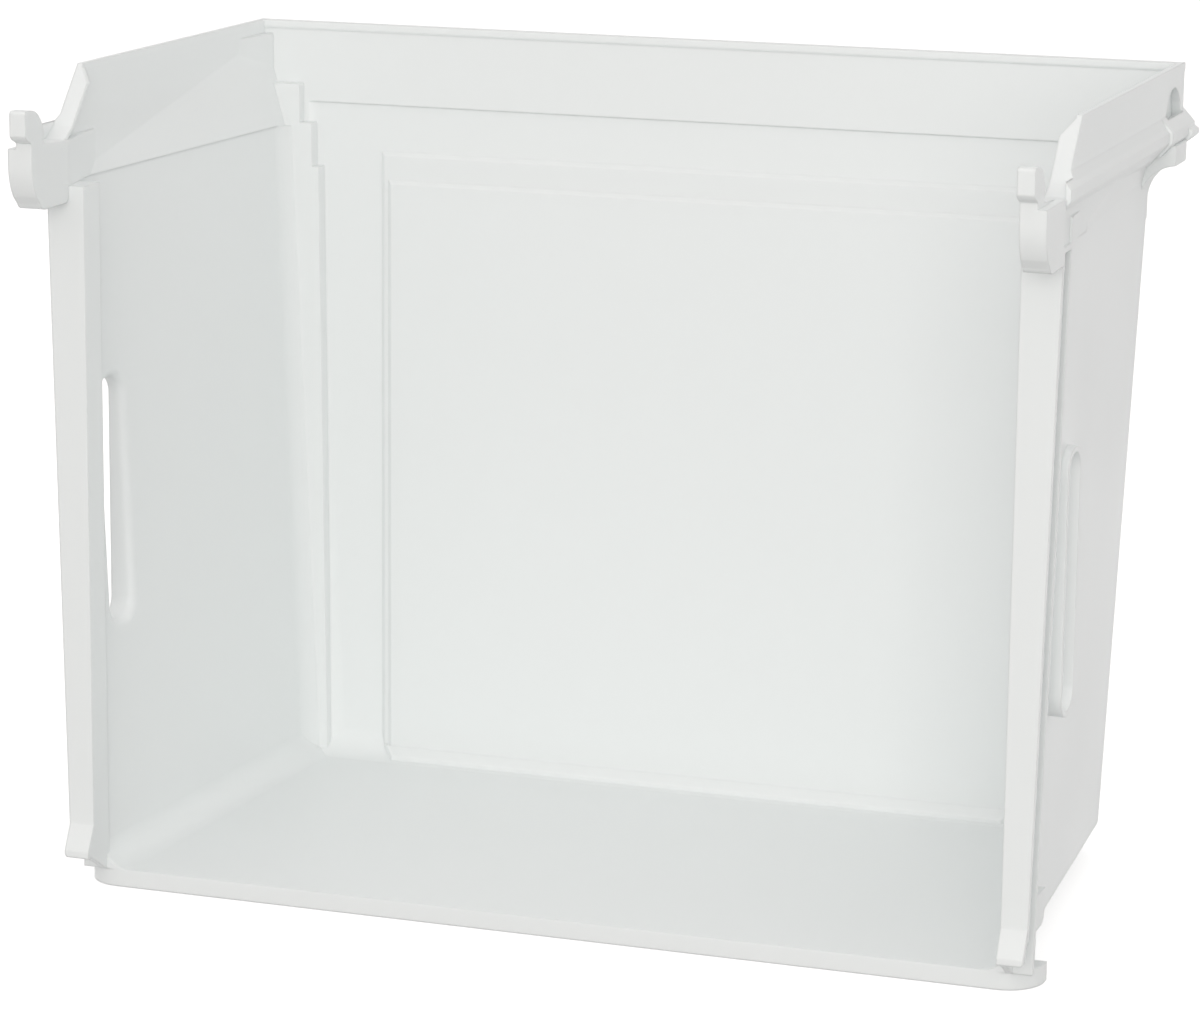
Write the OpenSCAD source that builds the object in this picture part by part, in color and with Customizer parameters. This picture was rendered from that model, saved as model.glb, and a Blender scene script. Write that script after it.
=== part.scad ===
// Freezer drawer, one white moulding: a deep tub with an open front, runner rails and hook arms.
// Lengths in mm. X to the right, Y to the back, Z up, origin at the bottom centre of the bounds.
// The shape is drawn with its post fronts at Y = 0 and then moved so that the origin is central.

/* [Body] */
// Width over the upper side bands
band_w = 438.4; // [380:0.4:520]
// Height from the sill's underside to the rim
drawer_h = 360; // [330:1:420]
// Depth from the post fronts to the back wall's outer face
drawer_d = 227.6; // [190:0.2:320]
// Thickness of the moulded walls
wall_t = 2.6; // [2:0.1:3.2]
// Width of the tub at its back, just under the ledge
tub_back_w = 415.6; // [360:0.4:490]
// Inward lean of each side wall towards the floor, degrees
side_lean = 2.43; // [0.5:0.01:4]
// Inward turn of each side wall towards the back, degrees
plan_turn = 3.15; // [0.5:0.01:4.5]
// Height of the floor's upper face
floor_top = 8; // [7:0.1:12]
// Outer radius where the tub's walls meet its floor
base_r = 15; // [8:0.5:24]
// Outer radius of the tub's upright back corners
corner_r = 20; // [12:0.5:30]

/* [Side rails] */
// Height of the outer ledge line under the rail
rail_z = 330; // [322:0.5:334]
// Reach of the rail beyond the side band
rail_reach = 3.8; // [2.5:0.1:6]
// Height of the rail's upright face
rail_face_h = 4.4; // [3:0.1:8]
// Slope of the ledge between the wall and the rail, degrees
ledge_slope = 47; // [35:1:60]
// Height of the small step on the inside of each side wall
inner_step_z = 311.5; // [300:0.5:318]
// Depth of that small step
inner_step = 0.8; // [0.4:0.1:1.4]
// Lean of the inside ledge above that step, degrees from upright
ledge_lean = 16; // [12:1:30]

/* [Back wall] */
// Height of the lower edge of the upper back band
back_band_z = 322.6; // [312:0.2:330]
// How far the upper back band stands forward
back_band_t = 1; // [0.6:0.1:2]
// Half width of the upper panel step
step_half_w = 156; // [120:1:170]
// Height of the upper panel step
step_z = 299; // [290:1:306]
// Half width of the main panel
panel_half_w = 150; // [110:1:164]
// Height of the top of the main panel
panel_z = 286; // [240:1:292]
// Height of the bottom of the main panel
panel_foot_z = 14.6; // [12:0.2:30]
// Depth of each of the two panel steps
panel_step = 2; // [1:0.1:3]
// Height of the rim bead along the back wall
bead_h = 4; // [3:0.1:6]

/* [Front posts] */
// Half distance between the inner edges of the two posts
post_inner = 203.1; // [170:0.1:206]
// Half distance between the outer edges of the two posts, at their top
post_outer = 220.2; // [190:0.1:260]
// Depth of the post, front to back
post_d = 15.5; // [12:0.1:20]
// Thickness of the post's front plate
post_front_t = 3; // [2.4:0.1:4]
// How far the toe at the foot of each post kicks forward
toe_kick = 6; // [4:0.5:12]
// Height of the bottom of the toe
toe_z = 17; // [14:0.5:22]

/* [Sill] */
// Half width of the sill
sill_half_w = 215.5; // [180:0.5:250]
// Front of the sill, behind the post fronts
sill_y = 12.6; // [11:0.1:14]
// Plan radius of the sill's two ends
sill_r = 17; // [8:0.5:24]

/* [Hook arms] */
// How far the hook arms reach in front of the posts
hook_reach = 39.6; // [30:0.2:50]
// Height of the top of the hook
hook_top = 347.5; // [342:0.5:352]
// Half distance between the inner faces of the two hook arms
hook_inner = 210; // [180:0.1:240]
// Thickness of each hook arm
hook_t = 7.2; // [5:0.1:9]
// How far the stop block stands outside the hook arm
block_step = 3.8; // [2:0.1:6]
// Height of the bottom of the stop block
block_z = 304.5; // [300:0.5:309]

/* [Grip slots] */
// Width of each grip slot
slot_w = 19; // [18:0.5:30]
// Height of each grip slot
slot_h = 108; // [80:0.5:140]
// Height of the middle of each grip slot
slot_z = 167.5; // [120:0.5:220]
// Distance of each grip slot's middle behind the post fronts
slot_y = 42.5; // [38:0.5:60]
// Corner radius of each grip slot
slot_r = 8.5; // [4:0.5:9]
// Rounding of each grip slot's edge inside the drawer
slot_edge_r = 4; // [2:0.5:5]
// Thickness of the collar round each grip slot
collar_t = 2.5; // [2:0.1:4]
// Half distance between the outer faces of the two collars
collar_out = 218; // [205:0.1:230]

/* [Hidden] */
$fn = 96;

// A cut runs past the face it leaves by this much
past = 1;
// Pieces that must join overlap by this much
lap = 0.4;

floor_under = floor_top - wall_t;
back_in = drawer_d - wall_t;
band_out = band_w / 2;
band_in = band_out - wall_t;
lean = tan(side_lean);
turn = tan(plan_turn);
// The width of the tub at its back is given at this height
width_z = 291;
tub_top = rail_z - 8;

// Outer face of the right side wall at a depth and a height
function side_x(y, z) = tub_back_w / 2 + lean * (z - width_z) + turn * (drawer_d - 12.6 - y);

// Rounded bead behind the rim, and the reach of the whole part
bead_back = 1.5;
rim_back = drawer_d + bead_back;
middle_y = (rim_back - hook_reach) / 2;

// Colour of the moulding
body_colour = [0.9, 0.91, 0.91];

// The corner of a section between two directions, left outside its rounding circle. The circle
// stands a hair proud of both faces, so that each cut ends cleanly on its face.
module corner_outside(cx, cy, r, from_a, to_a) {
    proud = 0.01;
    mid_a = (from_a + to_a) / 2;
    difference() {
        polygon([[cx, cy], [cx + 2 * r * cos(from_a), cy + 2 * r * sin(from_a)],
                 [cx + 3 * r * cos(mid_a), cy + 3 * r * sin(mid_a)],
                 [cx + 2 * r * cos(to_a), cy + 2 * r * sin(to_a)]]);
        translate([cx, cy]) circle(r = r + proud);
    }
}

// The drafted volume of the tub, moved inwards by a wall thickness, its sides by a step more
module tub_volume(inset, front_y, top_z, side_step = 0) {
    far = 2 * drawer_h;
    r_base = base_r - inset;
    r_corner = corner_r - inset;
    y_back = drawer_d - inset;
    z_low = floor_under + inset;
    wall_x = side_x(0, z_low) - inset - side_step;
    difference() {
        intersection() {
            translate([-far / 2, front_y, z_low]) cube([far, y_back - front_y, top_z - z_low]);
            side_half_space(wall_x, z_low, far, lean);
            mirror([1, 0, 0]) side_half_space(wall_x, z_low, far, lean);
        }
        for (side = [0, 1]) mirror([side, 0, 0]) translate([wall_x, 0, z_low]) {
            // Edge between the side wall and the floor
            slope_b = lean * cos(plan_turn);
            rotate([0, 0, plan_turn]) translate([0, far / 2, 0]) rotate([90, 0, 0])
                linear_extrude(height = far)
                    corner_outside(slope_b * r_base - r_base * sqrt(1 + slope_b * slope_b), r_base, r_base,
                                   -90, -atan(slope_b));
            // Upright back corner
            slope_c = turn * cos(side_lean);
            c_y = y_back - r_corner;
            rotate([0, side_lean, 0]) translate([0, 0, -far / 4]) linear_extrude(height = far)
                corner_outside(-slope_c * c_y - r_corner * sqrt(1 + slope_c * slope_c), c_y, r_corner,
                               atan(slope_c), 90);
        }
        // Edge between the back wall and the floor
        translate([-far / 2, 0, 0]) rotate([90, 0, 90]) linear_extrude(height = far)
            corner_outside(y_back - r_base, z_low + r_base, r_base, -90, 0);
    }
}

// Everything inside the leaning, turned plane of one side wall
module side_half_space(wall_x, z_low, far, leaning) {
    translate([wall_x, 0, z_low]) rotate([0, atan(leaning * cos(plan_turn)), plan_turn])
        translate([-far, -far / 2, -far / 2]) cube(far);
}

// Section of the right ledge and band: everything above the sloped ledge line, out to a face
module above_ledge(face_x, ledge_x, ledge_z, top_z) {
    run = 34;
    polygon([[0, ledge_z - run * tan(ledge_slope)],
             [ledge_x - run, ledge_z - run * tan(ledge_slope)],
             [ledge_x, ledge_z],
             [face_x, ledge_z],
             [face_x, top_z],
             [0, top_z]]);
}

// Draws an X-Z section along Y on both sides
module along_y(from_y, to_y) {
    for (side = [0, 1]) mirror([side, 0, 0])
        translate([0, to_y, 0]) rotate([90, 0, 0]) linear_extrude(height = to_y - from_y) children();
}

// Draws a Y-Z section along X, between two half widths, on both sides
module along_x(from_x, to_x) {
    for (side = [0, 1]) mirror([side, 0, 0])
        translate([from_x, 0, 0]) rotate([90, 0, 90]) linear_extrude(height = to_x - from_x) children();
}

rail_out = band_out + rail_reach;
// Where the sloped ledge meets the band's outer face
ledge_out_z = rail_z - rail_reach * tan(ledge_slope);

module outer_body() {
    // Tub with compound draft
    tub_volume(0, post_d - wall_t, tub_top);
    // Ledge, upper bands and the upper part of the back wall
    intersection() {
        along_y(post_d - wall_t, drawer_d) above_ledge(band_out, band_out, ledge_out_z, drawer_h);
        translate([-band_out, 0, tub_top - 30]) cube([band_w, drawer_d, drawer_h - tub_top + 30]);
    }
    intersection() {
        above_step(0, 0, band_out, drawer_d);
        translate([-band_out, 0, 0]) cube([band_w, drawer_d, drawer_h]);
    }
    back_corner_flare();
    sill_outline(0, floor_top, 0);
    // Web that closes the corner between the sill, the tub and the post
    along_x(post_inner - base_r, post_inner + wall_t) square_from(sill_y, floor_top - lap, post_d, toe_z + 12);
}

module inner_space() {
    // Below the small step on the inside of the side walls
    tub_volume(wall_t, post_d - wall_t - past, inner_step_z);
    // Above that step
    intersection() {
        tub_volume(wall_t, post_d - wall_t - past, back_band_z, inner_step);
        translate([-band_in, -past, inner_step_z - lap])
            cube([2 * band_in, drawer_d - wall_t + past, rail_z]);
    }
    // Between the upper bands
    translate([0, 0, -lap]) above_step(-past, wall_t + inner_step, band_in, back_in - back_band_t);
}

// Inside of the steep ledge that starts level at the small step, out to the band's face
module above_step(front, inset, face_x, back_y) {
    ledge_x = side_x(0, inner_step_z) - inset;
    intersection() {
        translate([-face_x, post_d - wall_t + front, inner_step_z])
            cube([2 * face_x, back_y - post_d + wall_t - front, drawer_h]);
        side_half_space(ledge_x, inner_step_z + lap, 2 * drawer_h, tan(ledge_lean));
        mirror([1, 0, 0]) side_half_space(ledge_x, inner_step_z + lap, 2 * drawer_h, tan(ledge_lean));
    }
}

// Corner posts: how far each of the three parts stays behind the lowest one's edge, and its top
corner_x = tub_back_w / 2 - 23.3;
corner_d = 5.2;
corner_draft = 1;
corner_lean = 0.7;
corner_reach = 3 * corner_r;
corner_steps = [[0, panel_z + 6.5], [3.2, panel_z + 27], [9.2, rail_z + 1]];

// What stays solid inside: corner posts, the raised panel and its foot
module inner_relief() {
    for (side = [0, 1]) mirror([side, 0, 0]) {
        for (s = corner_steps) translate([corner_x + s[0], back_in, 0]) rotate([0, corner_lean, 0])
            linear_extrude(height = s[1])
                polygon([[-corner_draft, lap], [0, -corner_d], [corner_reach, -corner_d], [corner_reach, lap]]);
        // Ramp behind the stop pocket
        translate([0, 0, rail_z - 12]) linear_extrude(height = pocket_top + wall_t - rail_z + 12)
            polygon([[band_in + lap, pocket_front], [band_in - 4.5, back_in], [band_in + lap, back_in]]);
    }
    raised_panel(step_half_w, 0, step_z);
    raised_panel(panel_half_w, panel_step, panel_z);
    // Sloped foot under the panel
    foot_d = 8.5;
    intersection() {
        translate([-step_half_w, 0, 0]) rotate([90, 0, 90]) linear_extrude(height = 2 * step_half_w)
            polygon([[back_in - foot_d, 0], [back_in - foot_d, floor_top + 2.6],
                     [back_in - 2 * panel_step, panel_foot_z], [back_in + lap, panel_foot_z], [back_in + lap, 0]]);
        panel_plan(panel_half_w, foot_d, 0, panel_foot_z);
    }
}

// One step of the raised panel, with sloped sides and a sloped top
module raised_panel(half_w, behind, top_z) {
    front = behind + panel_step;
    intersection() {
        panel_plan(half_w + behind, front, floor_top, top_z + front);
        translate([-half_w - 2 * front, 0, 0]) rotate([90, 0, 90]) linear_extrude(height = 2 * half_w + 4 * front)
            polygon([[back_in + lap, floor_top], [back_in + lap, top_z + front], [back_in, top_z + front],
                     [back_in - front, top_z], [back_in - front, floor_top]]);
    }
}

module panel_plan(half_w, deep, from_z, to_z) {
    translate([0, back_in, from_z]) linear_extrude(height = to_z - from_z)
        polygon([[-half_w - deep, lap], [-half_w - deep, 0], [-half_w, -deep],
                 [half_w, -deep], [half_w + deep, 0], [half_w + deep, lap]]);
}

// Matching recess on the back of the panel, so the wall keeps its thickness
module back_recess() {
    translate([-panel_half_w + wall_t, drawer_d - 2 * panel_step, base_r + floor_under + 4])
        cube([2 * (panel_half_w - wall_t), 2 * panel_step + past, panel_z - wall_t - base_r - floor_under - 4]);
}

// The stop pocket near the back of each rail, arched at its top
pocket_front = drawer_d - 37.6;
pocket_back = drawer_d - 5;
pocket_top = rail_z + 21;
pocket_deep = 4.2;

module stop_pocket() {
    pocket_r = (pocket_back - pocket_front) / 2;
    for (side = [0, 1]) mirror([side, 0, 0]) intersection() {
        translate([0, 0, rail_z + 7]) linear_extrude(height = pocket_top - rail_z)
            polygon([[band_out + past, pocket_front], [band_out - 0.6, pocket_front],
                     [band_out - pocket_deep, pocket_back], [band_out + past, pocket_back]]);
        translate([band_out - 10, pocket_front + pocket_r, pocket_top - pocket_r]) rotate([0, 90, 0])
            union() {
                cylinder(r = pocket_r, h = 20);
                translate([0, -pocket_r, 0]) cube([40, 2 * pocket_r, 20]);
            }
    }
}

// Concave flare from the tub's back corners out to the rail blocks
flare_r = 18;
block_front = drawer_d - 46;
block_out = band_out + 5.4;

flare_axis = tub_back_w / 2 - corner_r;

// Section of the flare, measured from the axis of the tub's back corner
module flare_section() {
    difference() {
        translate([0, width_z + 2]) square([block_out - flare_axis, rail_z - width_z - 4]);
        translate([corner_r + flare_r + 0.8, width_z + 10.5]) circle(r = flare_r);
        translate([corner_r + 0.8, width_z]) square([2 * flare_r, 10.5]);
    }
}

module back_corner_flare() {
    corner_y = drawer_d - corner_r;
    along_y(block_front + 8, corner_y) translate([flare_axis, 0]) flare_section();
    for (side = [0, 1]) mirror([side, 0, 0]) intersection() {
        translate([flare_axis, corner_y, 0]) rotate_extrude() flare_section();
        translate([flare_axis, corner_y, 0]) cube([2 * corner_r + flare_r, corner_r, drawer_h]);
    }
}

// Rail along the outside of each band, with the thicker block at its back end
module rails() {
    along_y(-block_gap, block_front + 1) rail_section(rail_out);
    along_y(block_front, drawer_d) rail_section(block_out);
    // Pointed stop at the back of each block
    along_y(drawer_d - 13, drawer_d) polygon([[band_in + lap, rail_z + 7], [band_out, rail_z + 7],
        [block_out + 2, rail_z + 1.6], [block_out + 2, rail_z - 0.6], [block_out - 0.6, rail_z - 3],
        [band_in + lap, rail_z - 3]]);
}

module rail_section(out_x) {
    deep = out_x - band_out;
    polygon([[band_in + lap, ledge_out_z - 3], [band_out, rail_z - deep * tan(ledge_slope) - lap],
             [out_x, rail_z], [out_x, rail_z + rail_face_h], [out_x - 1.6, rail_z + rail_face_h + 2],
             [band_out, rail_z + rail_face_h + 6], [band_in + lap, rail_z + rail_face_h + 6]]);
}

// Rounded bead along the top of the back wall
module rim_bead() {
    bead_front = back_in - back_band_t - 0.8;
    bead_r = 1.4;
    translate([-band_out, 0, 0]) rotate([90, 0, 90]) linear_extrude(height = band_w) union() {
        translate([bead_front + bead_r, drawer_h - bead_h + bead_r]) circle(r = bead_r);
        translate([rim_back - bead_r, drawer_h - bead_h + bead_r]) circle(r = bead_r);
        translate([rim_back - bead_r, drawer_h - bead_r]) circle(r = bead_r);
        translate([bead_front, drawer_h - bead_h + bead_r])
            square([rim_back - bead_front, bead_h - 2 * bead_r]);
        translate([bead_front + bead_r, drawer_h - bead_h])
            square([rim_back - bead_front - 2 * bead_r, bead_h]);
        translate([bead_front, drawer_h - bead_h + bead_r]) square([4, bead_h - bead_r]);
    }
}

// Front posts: a channel open to the outside, with a toe at its foot
post_top = inner_step_z;
post_lean = 0.02;

function post_edge(z) = post_outer - post_lean * (post_top - z);

module post_channel() {
    intersection() {
        along_y(-past, post_d + past) polygon([[post_inner, 0], [post_edge(0), 0],
            [post_edge(tub_top), tub_top], [post_inner, tub_top]]);
        for (side = [0, 1]) mirror([side, 0, 0]) {
            // Front plate
            translate([post_inner, 0, toe_z + 8]) cube([30, post_front_t, post_top - toe_z - 8]);
            // Inner return
            translate([post_inner, 0, toe_z]) cube([wall_t, post_d, post_top - toe_z]);
            // Rear plate, carried up under the rail
            translate([post_inner, post_d - wall_t, floor_top - lap])
                cube([30, wall_t, post_top - floor_top + lap]);
            translate([band_in, post_d - wall_t, post_top - lap]) cube([30, wall_t, tub_top - post_top]);
            // Cap under the band
            translate([post_inner, 0, post_top - wall_t]) cube([30, post_d, wall_t]);
        }
    }
}

module post_toes() {
    toe_top = toe_z + 15;
    intersection() {
        along_y(-toe_kick - past, post_d + past) polygon([[post_inner, floor_top - lap],
            [post_inner + wall_t, floor_top - lap], [post_inner + wall_t, toe_z], [post_edge(toe_z) - 1, toe_z],
            [post_edge(toe_z), toe_z + 1], [post_edge(toe_top), toe_top + 6], [post_inner, toe_top + 6]]);
        union() {
            along_x(post_inner, post_outer) polygon([[0, toe_top + 2], [0, toe_top - 1], [-toe_kick, toe_z + 3],
                [-toe_kick, toe_z], [3.2 - toe_kick, toe_z], [3.2 - toe_kick, toe_z + 2],
                [post_front_t, toe_top - 2], [post_front_t, toe_top + 2]]);
            along_x(post_inner, post_inner + wall_t) polygon([[0, toe_top + 2], [0, toe_top - 1],
                [-toe_kick, toe_z + 3], [-toe_kick, toe_z], [3.2 - toe_kick, toe_z], [sill_y, floor_top - lap],
                [post_d, floor_top - lap], [post_d, toe_top + 2]]);
        }
    }
}

// Sill under the open front, rounded in plan at both ends
sill_d = sill_r + 3;

module sill_plan(inset) {
    r = sill_r - inset;
    y = sill_y + inset;
    hw = sill_half_w - inset;
    intersection() {
        union() {
            for (side = [-1, 1]) translate([side * (hw - r), y + r]) circle(r = r);
            translate([-hw + r, y]) square([2 * (hw - r), sill_d]);
            translate([-hw, y + r]) square([2 * hw, sill_d]);
        }
        translate([-hw, y]) square([2 * hw, sill_y + sill_d - y]);
    }
}

module sill_outline(from_z, to_z, inset) {
    translate([0, 0, from_z]) linear_extrude(height = to_z - from_z) sill_plan(inset);
}

// Underside of the sill is open behind its lip
module sill_hollow() {
    difference() {
        sill_outline(-past, floor_under, wall_t);
        translate([-band_out, sill_y + sill_d - wall_t, -2 * past]) cube([band_w, 20, 20]);
    }
}

// Grip slots with raised collars, drawn square to the leaning wall from its inner face outwards
slot_run = slot_w / 2 - slot_r;
slot_rise = slot_h / 2 - slot_r;

module in_wall() {
    for (side = [0, 1]) mirror([side, 0, 0])
        translate([side_x(slot_y, slot_z) - wall_t, slot_y, slot_z])
            rotate([0, atan(lean * cos(plan_turn)), plan_turn]) children();
}

module slot_block(from_x, to_x, grow) {
    r = slot_r + grow;
    translate([from_x, 0, 0]) rotate([90, 0, 90]) linear_extrude(height = to_x - from_x) union() {
        for (i = [-1, 1], j = [-1, 1]) translate([i * slot_run, j * slot_rise]) circle(r = r);
        translate([-slot_run - r, -slot_rise]) square([2 * (slot_run + r), 2 * slot_rise]);
        translate([-slot_run, -slot_rise - r]) square([2 * slot_run, 2 * (slot_rise + r)]);
    }
}

module collars() {
    intersection() {
        in_wall() slot_block(wall_t / 2, 2 * slot_w, collar_t);
        translate([-collar_out, 0, 0]) cube([2 * collar_out, drawer_d, drawer_h]);
    }
}

module slot_cuts() {
    in_wall() {
        slot_block(-past, 2 * slot_w, 0);
        slot_edge();
    }
}

// Section of the slot's rounded inner edge: distance from the corner's middle, depth in the wall
module edge_section() {
    wide = slot_r + slot_edge_r;
    difference() {
        translate([0, -past]) square([wide, slot_edge_r + past]);
        translate([wide, slot_edge_r]) circle(r = slot_edge_r);
    }
}

module slot_edge() {
    for (i = [-1, 1], j = [-1, 1]) translate([0, i * slot_run, j * slot_rise])
        rotate([0, 90, 0]) rotate_extrude() edge_section();
    for (i = [0, 1]) mirror([0, i, 0]) translate([0, slot_run, -slot_rise])
        linear_extrude(height = 2 * slot_rise) mirror([1, -1]) edge_section();
    for (j = [0, 1]) mirror([0, 0, j]) translate([0, slot_run, slot_rise]) rotate([90, 0, 0])
        linear_extrude(height = 2 * slot_run) mirror([1, -1]) edge_section();
}

// Front edge of the upper bands: the slanted line the bands are cut to
valley_z = rail_z + 1;
slant_y = 29.5;
slant = [[0, valley_z], [7.5, valley_z + 4.5], [15.5, valley_z + 13.5], [slant_y, drawer_h]];

module band_front() {
    flange_w = 7.6;
    flange_t = 3.4;
    difference() {
        union() {
            // The band carried forward over the post
            along_x(band_in, band_out) square_from(0, post_top - lap, post_d, drawer_h);
            // Inward flange along the slanted edge
            along_x(band_out - flange_w, band_out) polygon(concat(slant,
                [[slant_y + flange_t, drawer_h], [15.5 + flange_t, valley_z + 13.5],
                 [7.5 + flange_t, valley_z + 4.5], [flange_t, valley_z], [flange_t, post_top], [0, post_top]]));
        }
        // Flange runs out to the rim near its top
        along_y(-past, slant_y + 20) polygon([[band_out - flange_w - 1, drawer_h - 9],
            [band_out - 1.2, drawer_h + 0.2], [band_out - flange_w - 1, drawer_h + 0.2]]);
    }
}

module slant_cut() {
    along_x(band_out - 20, band_out + 1.4) polygon(concat([[-5, valley_z]], slant,
        [[slant_y, drawer_h + past], [-5, drawer_h + past]]));
}

module square_from(y0, z0, y1, z1) {
    translate([y0, z0]) square([y1 - y0, z1 - z0]);
}

// Hook arms in front of the posts
block_gap = 2.6;
stem_y = -hook_reach + 5.6;

// Points of a circular arc
function arc(cx, cy, r, a0, a1, n) = [for (i = [0 : n]) let (a = a0 + (a1 - a0) * i / n)
    [cx + r * cos(a), cy + r * sin(a)]];

module hook_outline() {
    tip_h = 10.5;
    // Hollow under the hook, in front of the block
    throat_r = 24;
    throat_y = -10;
    throat_z = block_z + 19.4;
    block_foot = 22;
    polygon(concat(
        // Front of the block, stem and tip
        [[0, post_top], [0, block_z + 4]],
        arc(-3, block_z + 3, 3, 0, -90, 8),
        [[-block_foot, block_z]],
        arc(-block_foot, block_z + 5, 5, -90, -150, 6),
        arc(throat_y, throat_z, throat_r, 214, 180, 8),
        [[stem_y, hook_top - tip_h - 3.4], [-hook_reach + 1.6, hook_top - tip_h - 1.6],
         [-hook_reach, hook_top - tip_h], [-hook_reach, hook_top - 1], [-hook_reach + 1, hook_top]],
        // Rounded back of the hook down to the valley
        arc(-hook_reach + 5, hook_top - 12, 12, 90, 6, 12),
        arc(-hook_reach + 18.6, valley_z + 3.6, 2.4, 180, 270, 6),
        [[-4, valley_z], [0, valley_z]]));
}

module hook_arms() {
    along_x(hook_inner, hook_inner + hook_t) hook_outline();
    // Stop block, standing outside the arm
    block_top = valley_z;
    along_x(hook_inner, hook_inner + hook_t + block_step) intersection() {
        hook_outline();
        square_from(-hook_reach, block_z - past, -block_gap, block_top);
    }
    // The arm fades into the band behind it
    for (side = [0, 1]) mirror([side, 0, 0]) translate([0, 0, post_top])
        linear_extrude(height = valley_z - post_top)
            polygon([[hook_inner, -lap], [band_out, -lap], [band_out, 44], [band_in, 40]]);
}

// Small rounded heels low on the outside, behind the posts
module heels() {
    heel_y = 48;
    along_x(tub_back_w / 2 - 20, tub_back_w / 2 + 2.4) union() {
        translate([heel_y - 6, toe_z + 9]) circle(r = 6);
        square_from(post_d - lap, toe_z + 3, heel_y - 6, toe_z + 18);
        square_from(heel_y - 12, toe_z + 9, heel_y, toe_z + 18);
    }
}

module drawer_shell() {
    difference() {
        union() {
            outer_body();
            rails();
            collars();
            heels();
        }
        difference() {
            inner_space();
            inner_relief();
        }
        sill_hollow();
        back_recess();
        stop_pocket();
    }
}

module drawer_body() {
    color(body_colour) difference() {
        union() {
            drawer_shell();
            rim_bead();
            post_channel();
            post_toes();
            band_front();
            hook_arms();
        }
        slant_cut();
        slot_cuts();
    }
}

translate([0, -middle_y, 0]) drawer_body();
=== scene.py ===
"""White moulded freezer drawer: the finish of its plastic, and a pale studio around it."""

import math

import bpy
from bpy.props import FloatProperty, FloatVectorProperty, PointerProperty
from mathutils import Matrix, Vector

bl_info = {
    "name": "Freezer drawer",
    "version": (1, 0, 0),
    "blender": (4, 5, 0),
    "location": "View3D > Sidebar > Drawer",
    "description": "Finishes a moulded freezer drawer and sets it in a pale studio",
    "category": "Object",
}

MM = 0.001
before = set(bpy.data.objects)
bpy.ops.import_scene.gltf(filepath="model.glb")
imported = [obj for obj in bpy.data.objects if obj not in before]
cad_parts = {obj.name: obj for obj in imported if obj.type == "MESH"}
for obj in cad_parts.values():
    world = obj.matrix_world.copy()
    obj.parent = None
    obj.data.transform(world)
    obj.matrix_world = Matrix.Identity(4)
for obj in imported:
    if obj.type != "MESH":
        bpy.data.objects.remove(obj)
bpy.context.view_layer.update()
DRAWER = "drawer_body"

# Skin of the moulding
GRAIN_HEIGHT = 0.02 * MM
GRAIN_STRENGTH = 0.15
# Width of a patch that cooled at one speed, about a hand's width
FLOW_WIDTH = 90 * MM
# Roughness where the skin is glossiest and where it is dullest
GLOSS = (0.36, 0.44)
# Nearly all values of a noise lie between these two
NOISE_MIDDLE = (0.3, 0.7)
EDGE_SAMPLES = 8
# Share of the light that goes into the plastic before it comes back, and how deep it goes
SCATTER_SHARE = 0.4
SCATTER_DEPTH = 2 * MM

# Paper floor: its width, its depth under the drawer's lowest point, and its overexposure
FLOOR_SIZE = 60.0
FLOOR_DROP = 0.2 * MM
FLOOR_GLOW = 0.4
# Light that comes back from the floor, as a share of the room's
FLOOR_RETURN = 0.55
# The room's light changes to the floor's within this sine of the angle at the horizon
HORIZON = 0.1
# Each softbox: size in metres, power in watts, place, turn to the left and tip downwards in
# degrees
SOFTBOXES = {
    "front_softbox": ((1.6, 1.6), 30.0, (0.80, -3.0, 0.8), 15, 12),
    "top_softbox": ((2.0, 2.0), 3.0, (0, -0.55, 3.3), 0, 80),
}

# The camera stands to the right of the drawer and looks down into it
CAMERA_PLACE = Vector((0.5990, -1.7478, 0.5780))
CAMERA_YAW = math.radians(19.02)
CAMERA_PITCH = math.radians(12.56)
CAMERA_ROLL = math.radians(0.57)
LENS_MM = 130.6
SENSOR_MM = 36.0
FARTHEST_SEEN = 100


def linear(hex_colour):
    """A colour written as sRGB hex, as the linear values that a shader takes."""
    channels = []
    for k in (0, 2, 4):
        c = int(hex_colour[k:k + 2], 16) / 255
        channels.append(c / 12.92 if c <= 0.04045 else ((c + 0.055) / 1.055) ** 2.4)
    return tuple(channels)


def add_node(tree, kind, settings=None, links=None):
    """Adds one node. Settings name its properties or input sockets; links name its inputs."""
    node = tree.nodes.new(kind)
    for key, value in (settings or {}).items():
        if key in node.inputs:
            node.inputs[key].default_value = value
        else:
            setattr(node, key, value)
    for key, source in (links or {}).items():
        tree.links.new(source, node.inputs[key])
    return node


def new_material(name):
    """An empty node material and its tree."""
    material = bpy.data.materials.new(name)
    material.use_nodes = True
    material.node_tree.nodes.clear()
    return material, material.node_tree


class MouldingSettings(bpy.types.PropertyGroup):
    plastic_colour: FloatVectorProperty(
        name="Plastic colour",
        description="Body colour of the white plastic",
        subtype="COLOR", size=3, min=0, max=1,
        default=linear("EEF1F1"))
    edge_radius: FloatProperty(
        name="Edge radius",
        description="Rounding that the mould leaves on each outer edge",
        unit="LENGTH", min=0, max=3 * MM,
        default=1.2 * MM)
    grain_size: FloatProperty(
        name="Grain size",
        description="Spacing of the fine matt texture that the mould prints on the walls",
        unit="LENGTH", min=0.05 * MM, max=5 * MM,
        default=0.6 * MM)


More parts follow.
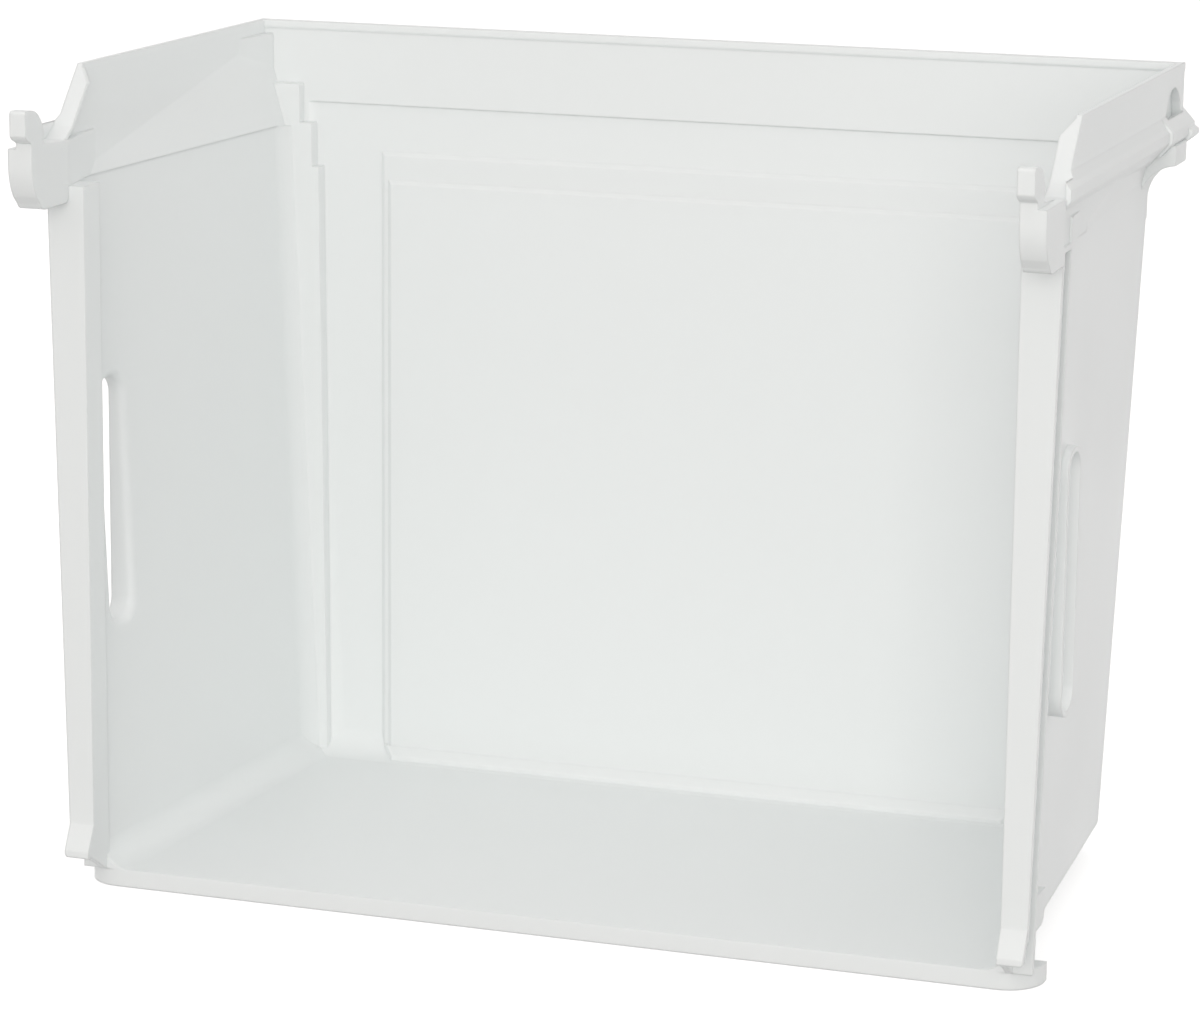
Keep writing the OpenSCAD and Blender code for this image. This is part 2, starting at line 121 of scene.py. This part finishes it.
class StudioSettings(bpy.types.PropertyGroup):
    floor_colour: FloatVectorProperty(
        name="Floor colour",
        description="Colour of the paper floor",
        subtype="COLOR", size=3, min=0, max=1,
        default=linear("F7F7F7"))
    room_light: FloatProperty(
        name="Room light",
        description="Strength of the even light from the white room",
        min=0, max=5,
        default=0.80)
    room_tint: FloatVectorProperty(
        name="Room tint",
        description="Colour of the room's light",
        subtype="COLOR", size=3, min=0, max=1,
        default=linear("FFFDFC"))
    lamp_light: FloatProperty(
        name="Lamp light",
        description="Strength of both softboxes",
        min=0, max=20,
        default=1)
    lamp_tint: FloatVectorProperty(
        name="Lamp tint",
        description="Colour of the softboxes",
        subtype="COLOR", size=3, min=0, max=1,
        default=linear("FFFCF8"))


def polystyrene(settings):
    """High-impact polystyrene, injection moulded: an opaque cold white with a soft satin sheen."""
    material, tree = new_material("injection_moulded_polystyrene")
    place = add_node(tree, "ShaderNodeTexCoord").outputs["Object"]
    # The mould's matt grain spreads the highlights; it is drawn a little coarser than the real one
    grain = add_node(tree, "ShaderNodeTexNoise",
                     {"Scale": 1 / settings.grain_size, "Detail": 2.0},
                     {"Vector": place})
    # The gloss changes slowly, where the melt cooled at different speeds
    flow = add_node(tree, "ShaderNodeTexNoise", {"Scale": 1 / FLOW_WIDTH, "Detail": 3.0},
                    {"Vector": place})
    gloss = add_node(tree, "ShaderNodeMapRange",
                     {"From Min": NOISE_MIDDLE[0], "From Max": NOISE_MIDDLE[1],
                      "To Min": GLOSS[0], "To Max": GLOSS[1]},
                     {"Value": flow.outputs["Fac"]})
    # Mould edges are never sharp
    rounding = add_node(tree, "ShaderNodeBevel",
                        {"samples": EDGE_SAMPLES, "Radius": settings.edge_radius})
    skin = add_node(tree, "ShaderNodeBump",
                    {"Strength": GRAIN_STRENGTH, "Distance": GRAIN_HEIGHT},
                    {"Height": grain.outputs["Fac"], "Normal": rounding.outputs["Normal"]})
    # White filled plastic lets light in by a millimetre or two, which softens its edges
    plastic = add_node(tree, "ShaderNodeBsdfPrincipled",
                       {"Base Color": (*settings.plastic_colour, 1), "IOR": 1.59,
                        "Subsurface Weight": SCATTER_SHARE, "Subsurface Radius": (1.0, 1.0, 1.0),
                        "Subsurface Scale": SCATTER_DEPTH},
                       {"Roughness": gloss.outputs["Result"], "Normal": skin.outputs["Normal"]})
    add_node(tree, "ShaderNodeOutputMaterial", links={"Surface": plastic.outputs["BSDF"]})
    return material


def background_paper(settings):
    """Uncoated white paper off a roll: matt, with no highlight, and overexposed to pure white."""
    material, tree = new_material("matt_background_paper")
    paper = add_node(tree, "ShaderNodeBsdfPrincipled",
                     {"Base Color": (*settings.floor_colour, 1), "Roughness": 0.95, "IOR": 1.45,
                      "Emission Color": (1, 1, 1, 1), "Emission Strength": FLOOR_GLOW})
    add_node(tree, "ShaderNodeOutputMaterial", links={"Surface": paper.outputs["BSDF"]})
    return material


def white_room(settings):
    """An even white room: full strength above the horizon, the floor's weaker return below it."""
    world = bpy.data.worlds.new("white_room")
    world.use_nodes = True
    tree = world.node_tree
    tree.nodes.clear()
    direction = add_node(tree, "ShaderNodeTexCoord").outputs["Generated"]
    height = add_node(tree, "ShaderNodeSeparateXYZ", links={"Vector": direction}).outputs["Z"]
    strength = add_node(tree, "ShaderNodeMapRange",
                        {"From Min": -HORIZON, "From Max": HORIZON,
                         "To Min": settings.room_light * FLOOR_RETURN,
                         "To Max": settings.room_light},
                        {"Value": height})
    light = add_node(tree, "ShaderNodeBackground", {"Color": (*settings.room_tint, 1)},
                     {"Strength": strength.outputs["Result"]})
    add_node(tree, "ShaderNodeOutputWorld", links={"Surface": light.outputs["Background"]})
    return world


def paper_floor(settings):
    """A flat square of paper under the drawer."""
    half = FLOOR_SIZE / 2
    mesh = bpy.data.meshes.new("paper_floor")
    mesh.from_pydata([(-half, -half, 0), (half, -half, 0), (half, half, 0), (-half, half, 0)],
                     [], [(0, 1, 2, 3)])
    mesh.materials.append(background_paper(settings))
    floor = bpy.data.objects.new("paper_floor", mesh)
    floor.location.z = -FLOOR_DROP
    # None of the overexposure is thrown back at the drawer: the room's lower half does that
    floor.visible_diffuse = False
    return floor


def aim(place, yaw, pitch, roll):
    """The matrix of a camera or light at a place, turned to the left, tipped down and rolled."""
    turn = Matrix.Rotation(yaw, 4, "Z") @ Matrix.Rotation(math.pi / 2 - pitch, 4, "X")
    return Matrix.Translation(place) @ turn @ Matrix.Rotation(roll, 4, "Z")


def softbox(settings, name, size, power):
    """A rectangular lamp behind white cloth."""
    lamp = bpy.data.lights.new(name, "AREA")
    lamp.shape = "RECTANGLE"
    lamp.size, lamp.size_y = size
    lamp.energy = power * settings.lamp_light
    lamp.color = settings.lamp_tint
    return bpy.data.objects.new(name, lamp)


def long_lens():
    """A camera from far off, so the drawer's depth stays moderate."""
    lens = bpy.data.cameras.new("camera")
    lens.lens = LENS_MM
    lens.sensor_width = SENSOR_MM
    lens.clip_end = FARTHEST_SEEN
    return bpy.data.objects.new("camera", lens)


class DRAWER_OT_finish_moulding(bpy.types.Operator):
    """Gives the moulded body its white plastic"""

    bl_idname = "drawer.finish_moulding"
    bl_label = "Finish the moulding"

    def execute(self, context):
        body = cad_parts[DRAWER]
        body.data.materials.clear()
        body.data.materials.append(polystyrene(context.scene.drawer_moulding))
        return {"FINISHED"}


class DRAWER_OT_build_studio(bpy.types.Operator):
    """Adds the paper floor, the soft lights and the camera"""

    bl_idname = "drawer.build_studio"
    bl_label = "Build the studio"

    def execute(self, context):
        scene = context.scene
        settings = scene.drawer_studio

        floor = paper_floor(settings)
        scene.collection.objects.link(floor)

        scene.world = white_room(settings)
        # The plain transform keeps the paper white, where a filmic one would grey it
        scene.view_settings.view_transform = "Standard"

        for name, (size, power, place, yaw, pitch) in SOFTBOXES.items():
            lamp = softbox(settings, name, size, power)
            scene.collection.objects.link(lamp)
            lamp.matrix_world = aim(Vector(place), math.radians(yaw), math.radians(pitch), 0)

        camera = long_lens()
        scene.collection.objects.link(camera)
        camera.matrix_world = aim(CAMERA_PLACE, CAMERA_YAW, CAMERA_PITCH, CAMERA_ROLL)
        scene.camera = camera
        return {"FINISHED"}


class DRAWER_PT_panel(bpy.types.Panel):
    bl_label = "Freezer drawer"
    bl_idname = "DRAWER_PT_panel"
    bl_space_type = "VIEW_3D"
    bl_region_type = "UI"
    bl_category = "Drawer"

    def draw(self, context):
        layout = self.layout
        for settings in (context.scene.drawer_moulding, context.scene.drawer_studio):
            for name in settings.bl_rna.properties.keys():
                if name not in ("rna_type", "name"):
                    layout.prop(settings, name)
        layout.operator(DRAWER_OT_finish_moulding.bl_idname)
        layout.operator(DRAWER_OT_build_studio.bl_idname)


CLASSES = (MouldingSettings, StudioSettings, DRAWER_OT_finish_moulding, DRAWER_OT_build_studio,
           DRAWER_PT_panel)


def register():
    for cls in CLASSES:
        bpy.utils.register_class(cls)
    bpy.types.Scene.drawer_moulding = PointerProperty(type=MouldingSettings)
    bpy.types.Scene.drawer_studio = PointerProperty(type=StudioSettings)


def unregister():
    del bpy.types.Scene.drawer_studio
    del bpy.types.Scene.drawer_moulding
    for cls in reversed(CLASSES):
        bpy.utils.unregister_class(cls)


def main():
    register()
    bpy.ops.drawer.finish_moulding()
    bpy.ops.drawer.build_studio()


if __name__ == "__main__":
    main()
